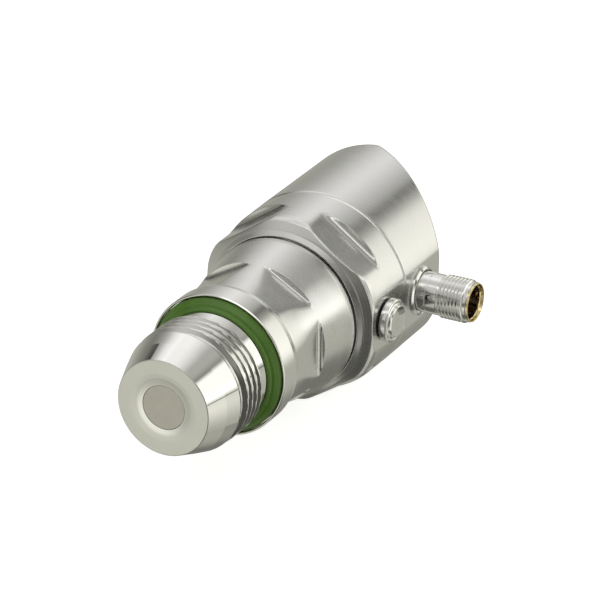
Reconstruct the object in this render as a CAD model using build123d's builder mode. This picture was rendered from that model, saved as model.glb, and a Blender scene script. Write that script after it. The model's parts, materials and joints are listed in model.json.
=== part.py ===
from build123d import *
import os
from math import cos, sin, tan, radians, sqrt

# Compact flush pressure sensor with a G1 process thread, a rotating round
# housing, an inclined display head and a side M12 connector. Millimetres.
# +Y is the sensor axis, from the process side (-Y) to the display head (+Y).
# +X is the connector side, +Z is up. The origin is the centre of the metal
# seat of the flange, where the sensor meets the vessel.

os.makedirs("parts", exist_ok=True)

# ---------------------------------------------------------------- dimensions
# process nose
NOSE_Y = -27.8          # front face
FACE_R = 12.9
CONE_Y, CONE_R = -21.9, 15.0    # where the sealing cone turns a little flatter
LAND_Y, LAND_R = -18.2, 16.15   # its end at the first groove
OPEN_R = 6.0            # opening over the diaphragm
DISH_R = 8.05           # shallow dish around the opening
DISH_DEPTH = 0.38
# G1 thread
THREAD_R = 16.62
ROOT_R = 15.15
PITCH = 2.309
CREST_Y0 = -14.2        # first crest
CRESTS = 4
RELIEF_R = 15.3
# profile seal and flange
SEAL_R = 18.45
SEAL_GROOVE_R = 18.75
SEAL_GROOVE_D = 2.6
FLANGE_R = 19.4
FLANGE_Y = 6.0
SEAM_Y, SEAM_R = 8.4, 18.6
# cell chamber
CELL_R = 8.3
CHAMBER_R = 8.35
WEB_Y = -25.4
# neck
NECK_FRONT_R = 18.4
NECK_FLAT_A = 18.0      # apothem of the six wrench flats
NECK_FLAT_Y = 21.3      # back wall of the flats
NECK_MAX_R = 21.55
NECK_BACK_Y = 35.6
# rotating joint
SPIGOT_R = 14.0
SPIGOT_BORE = 10.5
SPIGOT_Y = 46.0
RUN_R = 14.05           # housing bore that runs on the spigot
SWING = 172.5           # turn each way
STOP_R = 17.5           # pitch radius of the stop pin
# lower housing
LIP_R, LIP_Y = 21.85, 36.0
FRONT_R, FRONT_Y = 25.5, 38.0
LOW_R1, LOW_R2 = 25.9, 26.12
FLAT_A = 23.85          # apothem of the wrench pockets
POCKET_Y = 47.4         # back wall of the wrench pockets
POCKETS = (55, 124, 180, 235, 304)
SIDE_A = 25.0           # flat that carries vent and connector
WEB_BACK_Y = 43.5
LOW_CAV_R = 22.5
JOIN_Y = 55.9           # seam between lower housing and head
REG_R, REG_Y = 23.6, 52.9
# head
HEAD_R = 26.15
HEAD_CAV_R = 22.8
TILT = 32.8             # slope of the display face
TILT_Y = 92.7           # where the display plane meets the axis
SHOULDER_Y = 93.5       # cone that takes off the high side of the head
SHOULDER = 40.0         # its slope, from square to the wall
SHOULDER_R = 4.0
RIM_R = 1.5             # rim rounding
# panel
PANEL_R = 18.6
HOLE_R = 16.6           # opening under the panel
PANEL_T = 2.5
BUTTON_R = 2.6
BUTTON_TRAVEL = 0.5
# side fittings
VENT_Y = 45.7
CONN_Y = 65.9
CONN_THREAD_R = 5.9
CONN_SHAFT_R = 5.5
CONN_END_X = 41.0
CONN_BORE_R = 4.5

NRM = (sin(radians(TILT)), cos(radians(TILT)), 0)
E1 = (cos(radians(TILT)), -sin(radians(TILT)), 0)


def face_plane(depth):
    """Plane parallel to the display face, `depth` below it, looking outward."""
    return Plane(origin=(-NRM[0] * depth, TILT_Y - NRM[1] * depth, 0), x_dir=E1, z_dir=NRM)


def side_plane(x, y):
    """Plane square to +X, at height y along the sensor axis."""
    return Plane(origin=(x, y, 0), x_dir=(0, 1, 0), z_dir=(1, 0, 0))


def axial_plane(y):
    """Plane square to the sensor axis, looking to +Y."""
    return Plane(origin=(0, y, 0), x_dir=(1, 0, 0), z_dir=(0, 1, 0))


def flat_plane(angle, apothem, y):
    a = radians(angle)
    return Plane(origin=(apothem * cos(a), y, apothem * sin(a)), x_dir=(0, 1, 0), z_dir=(cos(a), 0, sin(a)))


def save(part, name):
    part.label = name
    export_step(part, "parts/" + name + ".step")


# ---------------------------------------------------------- process_fitting
# turned nose: face with a dished opening, sealing cone, land, G1 thread,
# relief, flange with a groove for the profile seal, stepped bore behind
thread = [(LAND_R, LAND_Y + 0.1), (ROOT_R, LAND_Y + 0.75)]
for i in range(CRESTS):
    y = CREST_Y0 + i * PITCH
    thread += [(ROOT_R, y - 1.0), (THREAD_R, y - 0.15), (THREAD_R, y + 0.15), (ROOT_R, y + 1.0)]
end_y = CREST_Y0 + (CRESTS - 1) * PITCH + 0.15
thread[-1] = (RELIEF_R, end_y + 0.9)
outer = [(OPEN_R, WEB_Y), (OPEN_R, NOSE_Y + DISH_DEPTH), (DISH_R, NOSE_Y), (FACE_R - 0.2, NOSE_Y), (FACE_R, NOSE_Y + 0.15),
         (CONE_R, CONE_Y), (LAND_R, LAND_Y)]
outer += thread
outer += [(RELIEF_R, SEAL_GROOVE_D),
          (SEAL_GROOVE_R, SEAL_GROOVE_D), (SEAL_GROOVE_R, 0.25), (SEAL_GROOVE_R + 0.2, 0), (FLANGE_R - 0.3, 0), (FLANGE_R, 0.3),
          (FLANGE_R, FLANGE_Y), (19.1, 7.4), (SEAM_R, SEAM_Y), (13.05, SEAM_Y), (13.05, 4.4), (CHAMBER_R, 4.4), (CHAMBER_R, WEB_Y)]
with BuildPart() as process_fitting:
    with BuildSketch():
        with BuildLine():
            Polyline(*outer, close=True)
        make_face()
    revolve(axis=Axis.Y)
save(process_fitting.part, "process_fitting")

# ------------------------------------------------------------- profile_seal
# moulded ring: heel in the flange groove, inclined front face, small inner step
with BuildPart() as profile_seal:
    with BuildSketch():
        with BuildLine():
            Polyline((RELIEF_R, SEAL_GROOVE_D), (RELIEF_R, -2.0), (15.75, -2.55), (16.25, -2.35), (16.6, -2.1), (16.65, -1.75), (17.3, -1.45),
                     (18.05, -0.6), (SEAL_R, 0.2), (SEAL_R, SEAL_GROOVE_D), close=True)
        make_face()
    revolve(axis=Axis.Y)
save(profile_seal.part, "profile_seal")

# ----------------------------------------------------------- measuring cell
# ceramic cell: the flush boss is the diaphragm seen through the opening
with BuildPart() as measuring_cell:
    with BuildSketch():
        with BuildLine():
            Polyline((0, NOSE_Y + 0.44), (5.9, NOSE_Y + 0.44), (5.9, WEB_Y + 0.8), (CELL_R, WEB_Y + 0.8), (CELL_R, -18.6), (0, -18.6), close=True)
        make_face()
    revolve(axis=Axis.Y)
save(measuring_cell.part, "measuring_cell")

with BuildPart() as cell_gasket:
    with BuildSketch():
        with BuildLine():
            Polyline((6.1, WEB_Y), (8.2, WEB_Y), (8.2, WEB_Y + 0.8), (6.1, WEB_Y + 0.8), close=True)
        make_face()
    revolve(axis=Axis.Y)
save(cell_gasket.part, "cell_gasket")

with BuildPart() as cell_backing_ring:
    with BuildSketch():
        with BuildLine():
            Polyline((5.0, -18.6), (8.2, -18.6), (8.2, -16.6), (5.0, -16.6), close=True)
        make_face()
    revolve(axis=Axis.Y)
save(cell_backing_ring.part, "cell_backing_ring")

# threaded clamp ring with two spanner slots
with BuildPart() as cell_clamp_nut:
    with BuildSketch():
        with BuildLine():
            Polyline((5.0, -16.6), (CHAMBER_R, -16.6), (CHAMBER_R, -12.6), (5.0, -12.6), close=True)
        make_face()
    revolve(axis=Axis.Y)
    with Locations((0, -12.6, 0)):
        Box(20, 2.4, 1.8, mode=Mode.SUBTRACT)
save(cell_clamp_nut.part, "cell_clamp_nut")

# round board behind the cell, with its header
with BuildPart() as cell_board:
    with BuildSketch(axial_plane(-12.6)):
        Circle(8.1)
    extrude(amount=1.2)
    with BuildSketch(axial_plane(-11.4)):
        Rectangle(6.4, 4.4)
    extrude(amount=2.6)
save(cell_board.part, "cell_board")

# straight lead on the axis, from the cell board to the main board's socket
with BuildPart() as cell_lead:
    with BuildSketch(axial_plane(-8.8)):
        Circle(1.3)
    extrude(amount=53.8)
    with BuildSketch(axial_plane(45.0)):
        Rectangle(5.2, 3.2)
    extrude(amount=3.0)
save(cell_lead.part, "cell_lead")

# ---------------------------------------------------------------- neck_body
# flared neck: pilot into the fitting, six wrench flats, rounded shoulder,
# hollow inside, spigot with grooves for the O-ring and the retaining ring
with BuildPart() as neck_body:
    with BuildSketch():
        with BuildLine():
            Polyline((7.0, 4.4), (13.0, 4.4), (13.0, SEAM_Y), (NECK_FRONT_R - 0.15, SEAM_Y), (NECK_FRONT_R, SEAM_Y + 0.25))
            Spline((NECK_FRONT_R, SEAM_Y + 0.25), (18.75, 14.5), (19.72, 21.3), (20.8, 27.6), (NECK_MAX_R, 33.0), (21.35, 34.6), (20.8, NECK_BACK_Y))
            Polyline((20.8, NECK_BACK_Y), (SPIGOT_R, NECK_BACK_Y), (SPIGOT_R, 38.7), (12.7, 38.7), (12.7, 40.5), (SPIGOT_R, 40.5),
                     (SPIGOT_R, 43.7), (13.0, 43.7), (13.0, 44.8), (SPIGOT_R, 44.8), (SPIGOT_R, SPIGOT_Y - 0.5), (SPIGOT_R - 0.5, SPIGOT_Y),
                     (SPIGOT_BORE, SPIGOT_Y), (SPIGOT_BORE, 31.5), (14.8, 29.5), (14.8, 13.0), (7.0, 10.5), (7.0, 4.4))
        make_face()
    revolve(axis=Axis.Y)
    for k in range(6):
        with Locations(flat_plane(60 * k, NECK_FLAT_A, NECK_FLAT_Y)):
            Box(14.0, 24, 6, align=(Align.MAX, Align.CENTER, Align.MIN), mode=Mode.SUBTRACT)
    # blind hole for the stop pin
    with BuildSketch(axial_plane(NECK_BACK_Y - 3)):
        with Locations((-STOP_R, 0)):
            Circle(1.0)
    extrude(amount=3, mode=Mode.SUBTRACT)
save(neck_body.part, "neck_body")

# ---------------------------------------------------------- rotating joint
with BuildPart() as neck_o_ring:
    with BuildSketch(Plane.XY):
        with Locations((13.22, 39.6)):
            Circle(0.52)
    revolve(axis=Axis.Y)
save(neck_o_ring.part, "neck_o_ring")

with BuildPart() as slide_washer:
    with BuildSketch(axial_plane(NECK_BACK_Y)):
        Circle(16.0)
        Circle(SPIGOT_R + 0.02, mode=Mode.SUBTRACT)
    extrude(amount=0.55)
save(slide_washer.part, "slide_washer")

# snap ring with its gap
with BuildPart() as retaining_ring:
    with BuildSketch(axial_plane(43.75)):
        Circle(16.4)
        Circle(13.0, mode=Mode.SUBTRACT)
        with Locations((0, 15)):
            Rectangle(4.2, 6, mode=Mode.SUBTRACT)
    extrude(amount=1.0)
save(retaining_ring.part, "retaining_ring")

with BuildPart() as stop_pin:
    with BuildSketch(axial_plane(NECK_BACK_Y - 3)):
        with Locations((-STOP_R, 0)):
            Circle(1.0)
    extrude(amount=5.0)
    chamfer(stop_pin.edges().filter_by(GeomType.CIRCLE).sort_by(Axis.Y)[-1], 0.2)
save(stop_pin.part, "stop_pin")

# ------------------------------------------------------------ lower_housing
# turned ring that runs on the spigot: rounded lip, conical front face, five
# wrench pockets and one long side flat; the back takes the head's register
with BuildPart() as lower_housing:
    with BuildSketch():
        with BuildLine():
            Polyline((RUN_R, 36.2), (19.7, 36.2), (19.7, 38.2), (LIP_R - 0.35, 38.2), (LIP_R - 0.35, 36.9))
            ThreePointArc((LIP_R - 0.35, 36.9), (LIP_R - 0.05, 36.15), (LIP_R + 0.7, LIP_Y))
            Polyline((LIP_R + 0.7, LIP_Y), (FRONT_R, FRONT_Y), (LOW_R1, 39.2), (LOW_R2, JOIN_Y - 0.35), (LOW_R2 - 0.35, JOIN_Y),
                     (REG_R, JOIN_Y), (REG_R, REG_Y), (LOW_CAV_R, REG_Y), (LOW_CAV_R, WEB_BACK_Y), (RUN_R, WEB_BACK_Y), (RUN_R, 36.2))
        make_face()
    revolve(axis=Axis.Y)
    for ang in POCKETS:
        with Locations(flat_plane(ang, FLAT_A, POCKET_Y)):
            Box(14, 30, 6, align=(Align.MAX, Align.CENTER, Align.MIN), mode=Mode.SUBTRACT)
    with Locations(flat_plane(0, SIDE_A, JOIN_Y + 1)):
        Box(22, 30, 6, align=(Align.MAX, Align.CENTER, Align.MIN), mode=Mode.SUBTRACT)
    # circular track of the stop pin, with its end stop on the connector side
    with BuildSketch(axial_plane(36.2)):
        Circle(STOP_R + 1.2)
        Circle(STOP_R - 1.2, mode=Mode.SUBTRACT)
        with Locations((STOP_R, 0)):
            Rectangle(6, 2 * (STOP_R * sin(radians(180 - SWING)) - 1.0) - 0.1, mode=Mode.SUBTRACT)
    extrude(amount=2.2, mode=Mode.SUBTRACT)
    # vent bore
    with BuildSketch(side_plane(20, VENT_Y + 0.9)):
        Circle(3.0)
    extrude(amount=8, mode=Mode.SUBTRACT)
    # screw holes of the board carrier
    with BuildSketch(axial_plane(WEB_BACK_Y)):
        with PolarLocations(19.8, 3, 90):
            Circle(1.0)
    extrude(amount=-4.5, mode=Mode.SUBTRACT)
save(lower_housing.part, "lower_housing")

# --------------------------------------------------------------- head_shell
# round shell cut off by the inclined display plane, with a conical shoulder on
# its high side and a rounded rim
SH = radians(SHOULDER)


def shoulder_r(y, inset=0.0):
    """Radius of the shoulder cone at height y, `inset` below its surface."""
    return (cos(SH) * HEAD_R + sin(SH) * SHOULDER_Y - inset - sin(SH) * y) / cos(SH)


s0 = SHOULDER_R * tan(SH / 2)
arc_c = (HEAD_R - SHOULDER_R, SHOULDER_Y - s0)
with BuildPart() as head_shell:
    with BuildSketch():
        with BuildLine():
            Polyline((0, 110), (0, JOIN_Y), (HEAD_R - 0.35, JOIN_Y), (HEAD_R, JOIN_Y + 0.35), (HEAD_R, SHOULDER_Y - s0))
            ThreePointArc((HEAD_R, SHOULDER_Y - s0), (arc_c[0] + SHOULDER_R * cos(SH / 2), arc_c[1] + SHOULDER_R * sin(SH / 2)),
                          (arc_c[0] + SHOULDER_R * cos(SH), arc_c[1] + SHOULDER_R * sin(SH)))
            Polyline((arc_c[0] + SHOULDER_R * cos(SH), arc_c[1] + SHOULDER_R * sin(SH)), (shoulder_r(110), 110), (0, 110))
        make_face()
    revolve(axis=Axis.Y)
    split(bisect_by=face_plane(0), keep=Keep.BOTTOM)
    rim = head_shell.faces().filter_by(lambda f: abs(f.normal_at().dot(Vector(*NRM)) - 1) < 1e-4).sort_by(Axis.Y)[-1]
    fillet(rim.edges(), RIM_R)
    with Locations(flat_plane(0, SIDE_A, JOIN_Y - 1)):
        Box(80, 30, 6, align=(Align.MIN, Align.CENTER, Align.MIN), mode=Mode.SUBTRACT)
    # register that fits the lower housing
    with BuildSketch(axial_plane(REG_Y)):
        Circle(REG_R - 0.04)
    extrude(amount=3.0)
    with BuildSketch():
        with BuildLine():
            Polyline((22.7, 53.8), (24.2, 53.8), (24.2, 55.2), (22.7, 55.2), close=True)
        make_face()
    revolve(axis=Axis.Y, mode=Mode.SUBTRACT)
    # cavity, closed above by the shelf of the panel and the shoulder
    cav_y = (cos(SH) * HEAD_R + sin(SH) * SHOULDER_Y - 3.3 - cos(SH) * HEAD_CAV_R) / sin(SH)
    with BuildPart(mode=Mode.PRIVATE) as cav:
        with BuildSketch():
            with BuildLine():
                Polyline((0, JOIN_Y + 0.6), (HEAD_CAV_R, JOIN_Y + 0.6), (HEAD_CAV_R, cav_y), (shoulder_r(104, 3.3), 104), (0, 104), close=True)
            make_face()
        revolve(axis=Axis.Y)
        split(bisect_by=face_plane(PANEL_T + 3.0), keep=Keep.BOTTOM)
    add(cav.part, mode=Mode.SUBTRACT)
    with BuildSketch(axial_plane(REG_Y)):
        Circle(22.0)
    extrude(amount=4.5, mode=Mode.SUBTRACT)
    with BuildSketch(face_plane(0)):
        Circle(PANEL_R + 0.1)
    extrude(amount=-(PANEL_T + 0.8), mode=Mode.SUBTRACT)
    with BuildSketch(face_plane(0)):
        Circle(HOLE_R)
    extrude(amount=-8, mode=Mode.SUBTRACT)
    # connector bore
    with BuildSketch(side_plane(20, CONN_Y)):
        Circle(5.2)
    extrude(amount=8, mode=Mode.SUBTRACT)
save(head_shell.part, "head_shell")

with BuildPart() as housing_seal:
    with BuildSketch(Plane.XY):
        with Locations((23.2, 54.5)):
            Circle(0.38)
    revolve(axis=Axis.Y)
save(housing_seal.part, "housing_seal")

# ----------------------------------------------------------------- vent set
with BuildPart() as vent_cap:
    # stem, flange with a chamfered edge, raised centre disc; bore from inside
    with BuildSketch(side_plane(22.4, VENT_Y + 0.9)):
        Circle(2.95)
    extrude(amount=3.4)
    with BuildSketch(side_plane(25.5, VENT_Y)):
        Circle(5.75)
    extrude(amount=2.0)
    with BuildSketch(side_plane(27.5, VENT_Y)):
        Circle(4.35)
    extrude(amount=1.2)
    fillet(vent_cap.edges().filter_by(GeomType.CIRCLE).group_by(Axis.X)[-1], 0.35)
    with BuildSketch(side_plane(22.4, VENT_Y + 0.9)):
        Circle(1.6)
    extrude(amount=4.2, mode=Mode.SUBTRACT)
save(vent_cap.part, "vent_cap")

with BuildPart() as vent_seal:
    with BuildSketch(side_plane(25.0, VENT_Y)):
        Circle(5.0)
        with Locations((0.9, 0)):
            Circle(3.0, mode=Mode.SUBTRACT)
    extrude(amount=0.5)
save(vent_seal.part, "vent_seal")

with BuildPart() as vent_membrane:
    with BuildSketch(side_plane(22.2, VENT_Y + 0.9)):
        Circle(2.6)
    extrude(amount=0.2)
save(vent_membrane.part, "vent_membrane")

# ---------------------------------------------------------------- connector
# shell: inner flange, plain shaft with a fine step, M12 thread
with BuildPart() as connector_shell:
    with BuildSketch(side_plane(21.2, CONN_Y)):
        Circle(5.15)
    extrude(amount=3.8)
    with BuildSketch(side_plane(25.0, CONN_Y)):
        Circle(CONN_SHAFT_R)
    extrude(amount=6.8)
    with BuildSketch(side_plane(31.8, CONN_Y)):
        Circle(CONN_THREAD_R)
    extrude(amount=7.7)
    chamfer(connector_shell.edges().filter_by(GeomType.CIRCLE).filter_by_position(Axis.X, 31.7, 31.9).sort_by(SortBy.RADIUS)[-1], 0.35)
    chamfer(connector_shell.edges().filter_by(GeomType.CIRCLE).filter_by_position(Axis.X, 39.4, 39.6).sort_by(SortBy.RADIUS)[-1], 0.5)
    with BuildSketch(side_plane(30.5, CONN_Y)):
        Circle(CONN_BORE_R)
    extrude(amount=9.0, mode=Mode.SUBTRACT)
    with BuildSketch(side_plane(21.2, CONN_Y)):
        Circle(3.9)
    extrude(amount=9.3, mode=Mode.SUBTRACT)
save(connector_shell.part, "connector_shell")

# flanged ring under the connector
with BuildPart() as connector_gasket:
    with BuildSketch(side_plane(25.0, CONN_Y)):
        Circle(6.7)
        Circle(CONN_SHAFT_R + 0.02, mode=Mode.SUBTRACT)
    extrude(amount=1.0)
    fillet(connector_gasket.edges().filter_by(GeomType.CIRCLE).group_by(Axis.X)[-1].sort_by(SortBy.RADIUS)[-1], 0.4)
save(connector_gasket.part, "connector_gasket")

# gold-plated ring at the mouth
with BuildPart() as connector_mouth_ring:
    with BuildSketch(side_plane(39.5, CONN_Y)):
        Circle(5.3)
        Circle(CONN_BORE_R, mode=Mode.SUBTRACT)
    extrude(amount=CONN_END_X - 39.5)
    chamfer(connector_mouth_ring.edges().filter_by(GeomType.CIRCLE).group_by(Axis.X)[-1].sort_by(SortBy.RADIUS)[0], 0.25)
save(connector_mouth_ring.part, "connector_mouth_ring")

# moulded insulator with a key, four contact holes
with BuildPart() as connector_insert:
    with BuildSketch(side_plane(20.4, CONN_Y)):
        Circle(3.85)
    extrude(amount=10.1)
    with BuildSketch(side_plane(30.5, CONN_Y)):
        Circle(4.45)
    extrude(amount=2.4)
    with BuildSketch(side_plane(32.9, CONN_Y)):
        with Locations((0, 4.1)):
            Rectangle(1.2, 0.6)
    extrude(amount=5.0)
    with BuildSketch(side_plane(20.4, CONN_Y)):
        with PolarLocations(2.5, 4, 45):
            Circle(0.5)
    extrude(amount=12.5, mode=Mode.SUBTRACT)
save(connector_insert.part, "connector_insert")

with BuildPart() as connector_pins:
    with BuildSketch(side_plane(18.6, CONN_Y)):
        with PolarLocations(2.5, 4, 45):
            Circle(0.5)
    extrude(amount=19.2)
    fillet(connector_pins.edges().filter_by(GeomType.CIRCLE).group_by(Axis.X)[-1], 0.3)
save(connector_pins.part, "connector_pins")

# ------------------------------------------------------------ display panel
LENS_L, LENS_W = 23.0, 10.5
LENS_AT = -4.5
BTN_AT = ((9.0, 6.0), (9.0, -6.0))
with BuildPart() as front_panel:
    with BuildSketch(face_plane(PANEL_T)):
        Circle(PANEL_R)
        with Locations((LENS_AT, 0)):
            RectangleRounded(LENS_W, LENS_L, 1.5, mode=Mode.SUBTRACT)
        with Locations(*BTN_AT):
            Circle(BUTTON_R + 0.3, mode=Mode.SUBTRACT)
    extrude(amount=PANEL_T)
    # ledge that carries the lens
    with BuildSketch(face_plane(PANEL_T)):
        with Locations((LENS_AT, 0)):
            RectangleRounded(LENS_W, LENS_L, 1.5)
            RectangleRounded(LENS_W - 2.4, LENS_L - 2.4, 0.8, mode=Mode.SUBTRACT)
    extrude(amount=0.9)
save(front_panel.part, "front_panel")

with BuildPart() as display_lens:
    with BuildSketch(face_plane(PANEL_T - 0.9)):
        with Locations((LENS_AT, 0)):
            RectangleRounded(LENS_W - 0.05, LENS_L - 0.05, 1.45)
    extrude(amount=PANEL_T - 0.9)
save(display_lens.part, "display_lens")

with BuildPart() as panel_gasket:
    with BuildSketch(face_plane(PANEL_T + 0.8)):
        Circle(PANEL_R)
        Circle(HOLE_R + 0.1, mode=Mode.SUBTRACT)
    extrude(amount=0.8)
save(panel_gasket.part, "panel_gasket")

# board hung below the shelf, with the display and two switches on it
with BuildPart() as display_board:
    with BuildSketch(face_plane(8.1)):
        Circle(16.4)
    extrude(amount=1.6)
save(display_board.part, "display_board")

with BuildPart() as display_module:
    with BuildSketch(face_plane(6.5)):
        with Locations((LENS_AT, 0)):
            Rectangle(LENS_W - 2.8, LENS_L - 2.8)
    extrude(amount=4.2)
save(display_module.part, "display_module")

with BuildPart() as tactile_switches:
    with BuildSketch(face_plane(6.5)):
        with Locations(*BTN_AT):
            Rectangle(5.0, 5.0)
    extrude(amount=1.5)
    with BuildSketch(face_plane(5.0)):
        with Locations(*BTN_AT):
            Circle(1.4)
    extrude(amount=0.5)
save(tactile_switches.part, "tactile_switches")

# three spacers carry the display board under the panel
with BuildPart() as board_spacers:
    with BuildSketch(face_plane(6.5)):
        with PolarLocations(14.4, 3, 60):
            Circle(1.7)
    extrude(amount=6.5 - PANEL_T)
save(board_spacers.part, "board_spacers")

for name, at in (("button_set", BTN_AT[0]), ("button_enter", BTN_AT[1])):
    with BuildPart() as button:
        with BuildSketch(face_plane(3.9)):
            with Locations(at):
                Circle(3.6)
        extrude(amount=1.3)
        with BuildSketch(face_plane(2.6)):
            with Locations(at):
                Circle(BUTTON_R)
        extrude(amount=3.3)
        fillet(button.edges().filter_by(GeomType.CIRCLE).filter_by(lambda e: e.radius < BUTTON_R + 0.01).sort_by(Axis.Y)[-1], 0.3)
    save(button.part, name)

# ------------------------------------------------------ boards and carrier
# ring with two slotted posts
BRD_Z = -8.6
with BuildPart() as board_carrier:
    with BuildSketch(axial_plane(WEB_BACK_Y)):
        Circle(22.0)
        Circle(17.2, mode=Mode.SUBTRACT)
        with PolarLocations(19.8, 3, 90):
            Circle(1.05, mode=Mode.SUBTRACT)
    extrude(amount=2.0)
    for sx in (-1, 1):
        with Locations((sx * 18.2, WEB_BACK_Y + 2.0, BRD_Z + 0.8)):
            Box(2.4, 24, 4.0, align=(Align.CENTER, Align.MIN, Align.CENTER))
        with Locations((sx * 17.3, WEB_BACK_Y + 4.5, BRD_Z + 0.8)):
            Box(1.8, 40, 1.6, align=(Align.CENTER, Align.MIN, Align.CENTER), mode=Mode.SUBTRACT)
save(board_carrier.part, "board_carrier")

with BuildPart() as main_board:
    with Locations((0, WEB_BACK_Y + 4.5, BRD_Z + 0.8)):
        Box(36.3, 24, 1.6, align=(Align.CENTER, Align.MIN, Align.CENTER))
    with Locations((-8, WEB_BACK_Y + 14, BRD_Z + 1.6)):
        Box(9, 9, 1.4, align=(Align.CENTER, Align.CENTER, Align.MIN))
    with Locations((9, WEB_BACK_Y + 11, BRD_Z + 1.6)):
        Box(6, 5, 2.2, align=(Align.CENTER, Align.CENTER, Align.MIN))
save(main_board.part, "main_board")

with BuildPart() as carrier_screws:
    with BuildSketch(axial_plane(WEB_BACK_Y + 2.0)):
        with PolarLocations(19.8, 3, 90):
            Circle(1.9)
    extrude(amount=1.3)
    with BuildSketch(axial_plane(WEB_BACK_Y + 2.0)):
        with PolarLocations(19.8, 3, 90):
            Circle(1.0)
    extrude(amount=-6.0)
    with BuildSketch(axial_plane(WEB_BACK_Y + 3.3)):
        with PolarLocations(19.8, 3, 90):
            RegularPolygon(0.9, 6)
    extrude(amount=-0.7, mode=Mode.SUBTRACT)
save(carrier_screws.part, "carrier_screws")
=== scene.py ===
import json
from math import cos, sin, tan, radians, pi, sqrt, atan2, ceil
import bpy
import bmesh
import numpy as np
from mathutils import Matrix, Vector

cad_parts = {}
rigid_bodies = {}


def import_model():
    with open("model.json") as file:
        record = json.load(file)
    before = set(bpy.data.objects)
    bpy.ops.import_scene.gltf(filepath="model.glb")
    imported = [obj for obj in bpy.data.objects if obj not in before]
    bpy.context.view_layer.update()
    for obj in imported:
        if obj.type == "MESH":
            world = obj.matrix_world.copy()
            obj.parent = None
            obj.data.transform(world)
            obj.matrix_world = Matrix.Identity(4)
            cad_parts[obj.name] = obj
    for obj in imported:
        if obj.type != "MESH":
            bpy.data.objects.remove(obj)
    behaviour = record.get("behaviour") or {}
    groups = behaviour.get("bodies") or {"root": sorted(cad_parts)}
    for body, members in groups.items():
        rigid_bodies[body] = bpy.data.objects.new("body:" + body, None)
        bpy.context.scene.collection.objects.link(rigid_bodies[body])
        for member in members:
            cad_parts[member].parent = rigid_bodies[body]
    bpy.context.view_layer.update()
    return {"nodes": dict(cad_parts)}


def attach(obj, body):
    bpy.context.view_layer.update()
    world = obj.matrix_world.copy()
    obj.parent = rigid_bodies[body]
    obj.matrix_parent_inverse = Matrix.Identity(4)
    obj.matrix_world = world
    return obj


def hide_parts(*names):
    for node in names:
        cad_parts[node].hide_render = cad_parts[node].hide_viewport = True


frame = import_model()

# Flush pressure sensor. Object frame as in the CAD model: +Y runs along the
# sensor axis from the process side to the display head, +X towards the
# connector, +Z up. Lengths below are millimetres and become metres in put().
MM = 0.001
NODES = frame["nodes"]

for o in list(bpy.data.objects):
    if o.type in {"LIGHT", "CAMERA"}:
        bpy.data.objects.remove(o)

# ------------------------------------------------------------------ camera
# the photo's camera: long lens, seen from the process side, right and above
a = np.array([0.4685, -0.3698, 0.8023]); a /= np.linalg.norm(a)
u = np.cross(a, [0.0, 1.0, 0.0]); u /= np.linalg.norm(u)
v = np.cross(a, u)
TX = radians(193.0)
ax_x = cos(TX) * u + sin(TX) * v
ax_z = cos(TX - pi / 2) * u + sin(TX - pi / 2) * v
ROT = np.array([ax_x, a, ax_z])                      # camera directions -> object directions
EYE_TO_ORIGIN = np.array([-35.07, 27.69, 1021.69]) + a * 28.7
eye = ROT @ (-EYE_TO_ORIGIN) * 0.97 * MM
cam_data = bpy.data.cameras.new("camera")
cam_data.lens = 240.0
cam_data.sensor_width = 36.0
cam_data.clip_start, cam_data.clip_end = 0.05, 20.0
cam = bpy.data.objects.new("camera", cam_data)
bpy.context.scene.collection.objects.link(cam)
right, up, back = ROT @ np.array([1, 0, 0.0]), ROT @ np.array([0, -1, 0.0]), ROT @ np.array([0, 0, -1.0])
m = Matrix.Identity(4)
for i in range(3):
    m[i][0], m[i][1], m[i][2], m[i][3] = right[i], up[i], back[i], eye[i]
cam.matrix_world = m
bpy.context.scene.camera = cam

# --------------------------------------------------------------- mesh tools
def put(name, verts, faces, mat, body, nodes, sharp=32.0, check=True):
    """Makes a closed piece from millimetre vertices and rides it on its body."""
    me = bpy.data.meshes.new(name)
    me.from_pydata([tuple(p) for p in (np.asarray(verts) * MM).tolist()], [], faces)
    bm = bmesh.new()
    bm.from_mesh(me)
    bmesh.ops.remove_doubles(bm, verts=bm.verts, dist=2e-7)
    bmesh.ops.dissolve_degenerate(bm, edges=bm.edges, dist=1e-8)
    bmesh.ops.recalc_face_normals(bm, faces=bm.faces)
    if bm.calc_volume(signed=True) < 0:
        bmesh.ops.reverse_faces(bm, faces=bm.faces)
    bm.to_mesh(me)
    bm.free()
    me.shade_smooth()
    me.set_sharp_from_angle(angle=radians(sharp))
    o = bpy.data.objects.new(name, me)
    bpy.context.scene.collection.objects.link(o)
    me.materials.append(mat)
    if nodes:
        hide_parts(*nodes)
    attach(o, body)
    return o


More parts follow.
